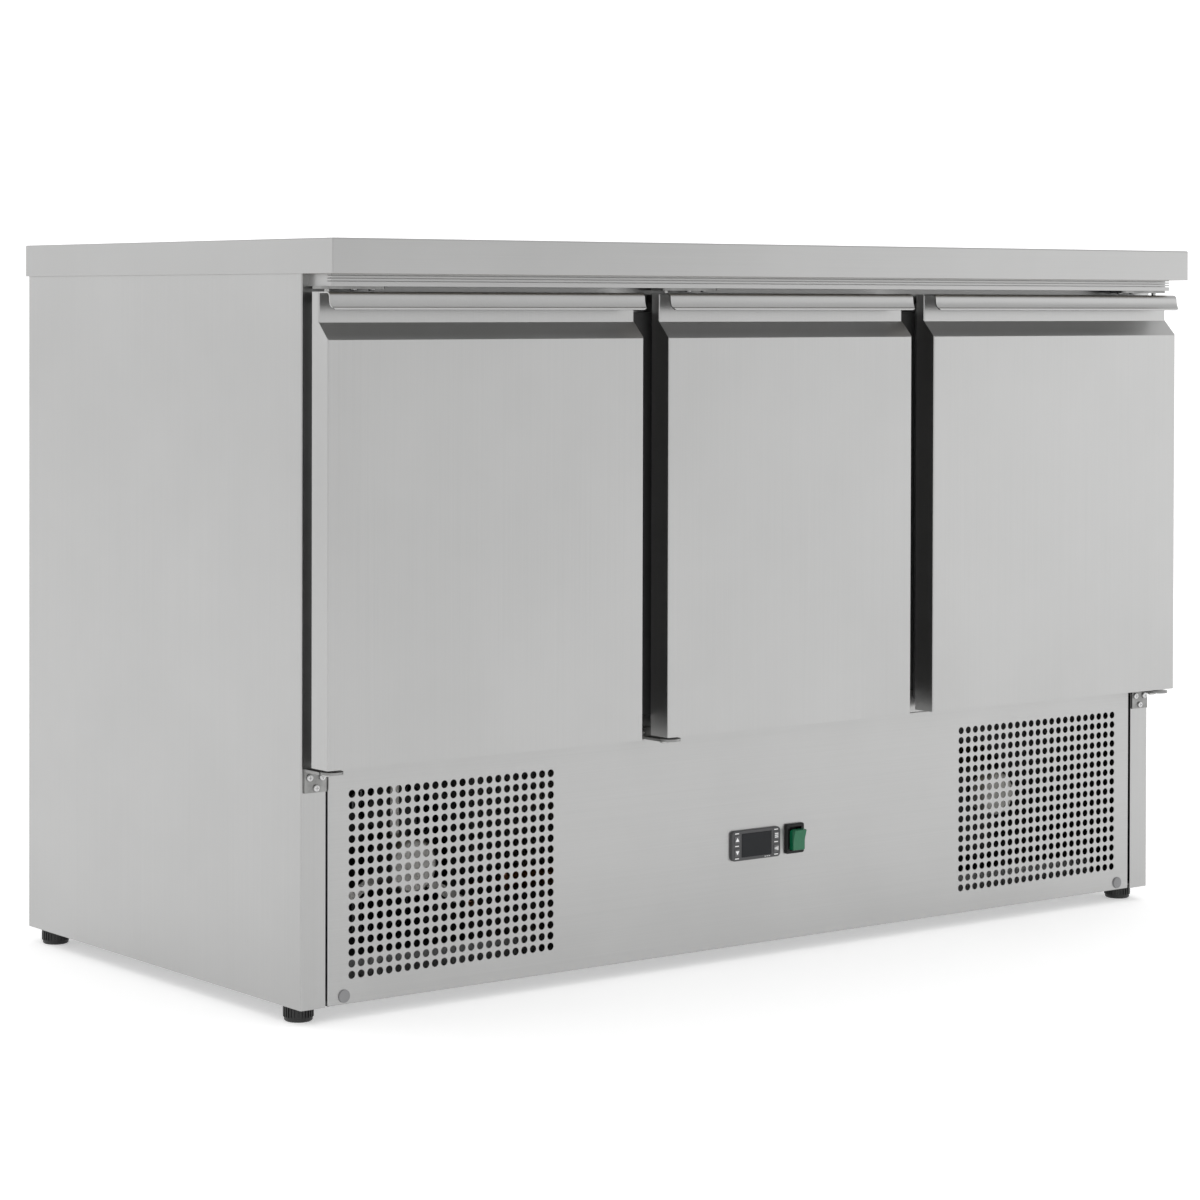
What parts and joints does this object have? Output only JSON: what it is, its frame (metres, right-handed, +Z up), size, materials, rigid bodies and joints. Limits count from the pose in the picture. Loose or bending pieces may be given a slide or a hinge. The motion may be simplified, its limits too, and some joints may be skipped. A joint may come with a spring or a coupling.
{
  "type": "reach in refrigerator",
  "caption": "Stainless undercounter refrigerator with side-hinged doors under a worktop, full-width finger pulls and a perforated machine-bay front with temperature controls.",
  "frame": {"origin": "on the floor, under the middle of the worktop", "axes": "+X to the right seen from the front, -Y out of the doors, +Z up"},
  "size_m": [1.365, 0.7, 0.875],
  "materials": {
    "bezel_plastic": "grey moulded bezel",
    "black_metal": "black paint",
    "black_plastic": "black moulded plastic",
    "board": "particle board",
    "bracket_steel": "plain steel",
    "bush_plastic": "nylon",
    "copper": "copper tube",
    "dark_profile": "dark grey thermal break",
    "display": "dark smoked window",
    "door_steel": "satin brushed stainless",
    "fan_blade": "black moulded blades",
    "fascia_steel": "satin brushed stainless, perforated",
    "fins": "aluminium fins",
    "foam": "polyurethane foam",
    "foot_plastic": "black ribbed plastic",
    "frame_steel": "satin stainless",
    "galvanised": "galvanised sheet",
    "gasket_rubber": "soft dark grey seal",
    "green_rocker": "translucent green",
    "grey_plastic": "grey plastic plug",
    "key_plastic": "light grey keys",
    "liner_steel": "bright annealed stainless",
    "motor_metal": "cast aluminium",
    "pale_cover": "pale grey cover",
    "panel_steel": "satin brushed stainless",
    "pin_steel": "polished pin",
    "screw_steel": "bright screws",
    "trim_steel": "satin stainless",
    "white_plastic": "white moulded plastic",
    "wire": "plastic-coated wire",
    "worktop_steel": "satin brushed stainless"
  },
  "bodies": {
    "cabinet": {"back_panel": "galvanised", "base_tray": "galvanised", "bracket_screws": "screw_steel", "cable_gland": "black_plastic", "compressor": "black_metal", "condenser_coil": "fins", "condenser_fan_shroud": "black_metal", "controller_case": "bezel_plastic", "controller_display": "display", "drain_tray": "white_plastic", "evaporation_tray": "black_plastic", "evaporator_coil": "fins", "evaporator_cover": "white_plastic", "fan_motors": "motor_metal", "fascia": "fascia_steel", "fascia_plugs": "grey_plastic", "front_frame": "frame_steel", "hinge_brackets_bottom": "bracket_steel", "hinge_brackets_top": "bracket_steel", "hinge_pins": "pin_steel", "inner_liner": "liner_steel", "insulation": "foam", "mullions": "dark_profile", "refrigerant_pipes": "copper", "shelf_pilasters": "bracket_steel", "shelf_rails": "bracket_steel", "side_panel_left": "panel_steel", "side_panel_right": "panel_steel", "switch_housing": "black_plastic", "terminal_cover": "pale_cover", "top_trim": "trim_steel", "wire_shelves": "wire", "worktop_core": "board", "worktop_skin": "worktop_steel"},
    "door_left": {"door_left_skin": "door_steel", "door_left_inner_panel": "liner_steel", "door_left_foam": "foam", "door_left_gasket": "gasket_rubber", "door_left_bushes": "bush_plastic"},
    "door_middle": {"door_middle_skin": "door_steel", "door_middle_inner_panel": "liner_steel", "door_middle_foam": "foam", "door_middle_gasket": "gasket_rubber", "door_middle_bushes": "bush_plastic"},
    "door_right": {"door_right_skin": "door_steel", "door_right_inner_panel": "liner_steel", "door_right_foam": "foam", "door_right_gasket": "gasket_rubber", "door_right_bushes": "bush_plastic"},
    "foot_back_left": {"foot_back_left": "foot_plastic"},
    "foot_back_right": {"foot_back_right": "foot_plastic"},
    "foot_front_left": {"foot_front_left": "foot_plastic"},
    "foot_front_right": {"foot_front_right": "foot_plastic"},
    "key_left_lower": {"key_left_lower": "key_plastic"},
    "key_left_upper": {"key_left_upper": "key_plastic"},
    "key_right_lower": {"key_right_lower": "key_plastic"},
    "key_right_upper": {"key_right_upper": "key_plastic"},
    "rocker": {"switch_rocker": "green_rocker"},
    "condenser_fan": {"condenser_fan": "fan_blade"},
    "evaporator_fan": {"evaporator_fan": "fan_blade"}
  },
  "joints": [
    {"name": "door_left_hinge", "type": "hinge", "parent": "cabinet", "child": "door_left", "pos_m": [-0.662, -0.30725, 0.55], "axis": [0, 0, -1], "range_deg": [0, 100]},
    {"name": "door_middle_hinge", "type": "hinge", "parent": "cabinet", "child": "door_middle", "pos_m": [-0.181, -0.30725, 0.55], "axis": [0, 0, -1], "range_deg": [0, 100]},
    {"name": "door_right_hinge", "type": "hinge", "parent": "cabinet", "child": "door_right", "pos_m": [0.662, -0.30725, 0.55], "axis": [0, 0, 1], "range_deg": [0, 100]},
    {"name": "key_left_lower_press", "type": "slide", "parent": "cabinet", "child": "key_left_lower", "axis": [0, 1, 0], "range_m": [0, 0.0006], "stiffness_N_per_m": 500, "springref_m": -0.0006},
    {"name": "key_left_upper_press", "type": "slide", "parent": "cabinet", "child": "key_left_upper", "axis": [0, 1, 0], "range_m": [0, 0.0006], "stiffness_N_per_m": 500, "springref_m": -0.0006},
    {"name": "key_right_lower_press", "type": "slide", "parent": "cabinet", "child": "key_right_lower", "axis": [0, 1, 0], "range_m": [0, 0.0006], "stiffness_N_per_m": 500, "springref_m": -0.0006},
    {"name": "key_right_upper_press", "type": "slide", "parent": "cabinet", "child": "key_right_upper", "axis": [0, 1, 0], "range_m": [0, 0.0006], "stiffness_N_per_m": 500, "springref_m": -0.0006},
    {"name": "rocker_tip", "type": "hinge", "parent": "cabinet", "child": "rocker", "pos_m": [0.0455, -0.286, 0.1425], "axis": [1, 0, 0], "range_deg": [-16, 0]},
    {"name": "condenser_fan_spin", "type": "hinge", "parent": "cabinet", "child": "condenser_fan", "pos_m": [-0.48, -0.142, 0.15], "axis": [0, 1, 0], "continuous": true},
    {"name": "evaporator_fan_spin", "type": "hinge", "parent": "cabinet", "child": "evaporator_fan", "pos_m": [0, 0.227, 0.7], "axis": [0, 1, 0], "continuous": true},
    {"name": "foot_front_left_turn", "type": "hinge", "parent": "cabinet", "child": "foot_front_left", "pos_m": [-0.66, -0.248, 0.01], "axis": [0, 0, 1], "continuous": true},
    {"name": "foot_front_right_turn", "type": "hinge", "parent": "cabinet", "child": "foot_front_right", "pos_m": [0.66, -0.248, 0.01], "axis": [0, 0, 1], "continuous": true},
    {"name": "foot_back_left_turn", "type": "hinge", "parent": "cabinet", "child": "foot_back_left", "pos_m": [-0.66, 0.312, 0.01], "axis": [0, 0, 1], "continuous": true},
    {"name": "foot_back_right_turn", "type": "hinge", "parent": "cabinet", "child": "foot_back_right", "pos_m": [0.66, 0.312, 0.01], "axis": [0, 0, 1], "continuous": true}
  ]
}
